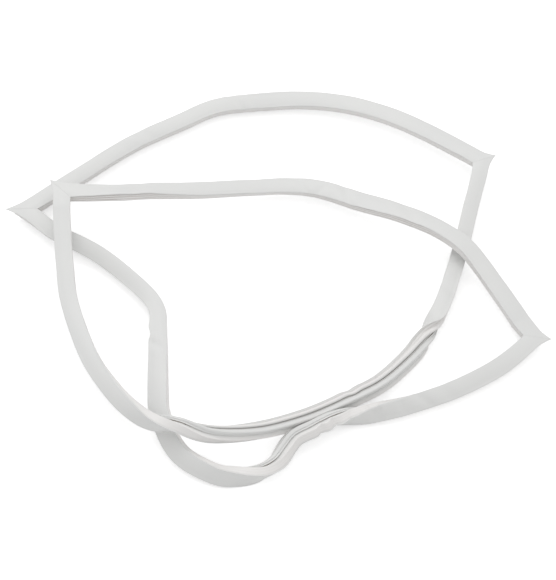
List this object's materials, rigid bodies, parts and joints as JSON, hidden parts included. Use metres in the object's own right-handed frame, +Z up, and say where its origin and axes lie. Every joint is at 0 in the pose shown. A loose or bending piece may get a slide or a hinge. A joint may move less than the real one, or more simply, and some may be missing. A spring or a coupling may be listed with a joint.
{
  "type": "refrigerator door liner gasket",
  "caption": "Closed frame of soft white hollow profile with mitred corners, a push-in dart and magnet strips in its face, lying loose and crossed over itself",
  "frame": {"origin": "on the surface that the gasket lies on, under the middle of its outline", "axes": "+Z up from the surface, +X to the right and +Y away from the viewer as pictured"},
  "size_m": [0.5866, 0.5086, 0.0466],
  "materials": {
    "soft_pvc": "off-white soft PVC extrusion with a satin skin",
    "magnet_rubber": "dark brown flexible magnet strip"
  },
  "bodies": {
    "root": {"gasket_profile": "soft_pvc", "magnet_strip_top": "magnet_rubber", "magnet_strip_handle_side": "magnet_rubber", "magnet_strip_bottom": "magnet_rubber", "magnet_strip_hinge_side": "magnet_rubber"}
  },
  "joints": []
}
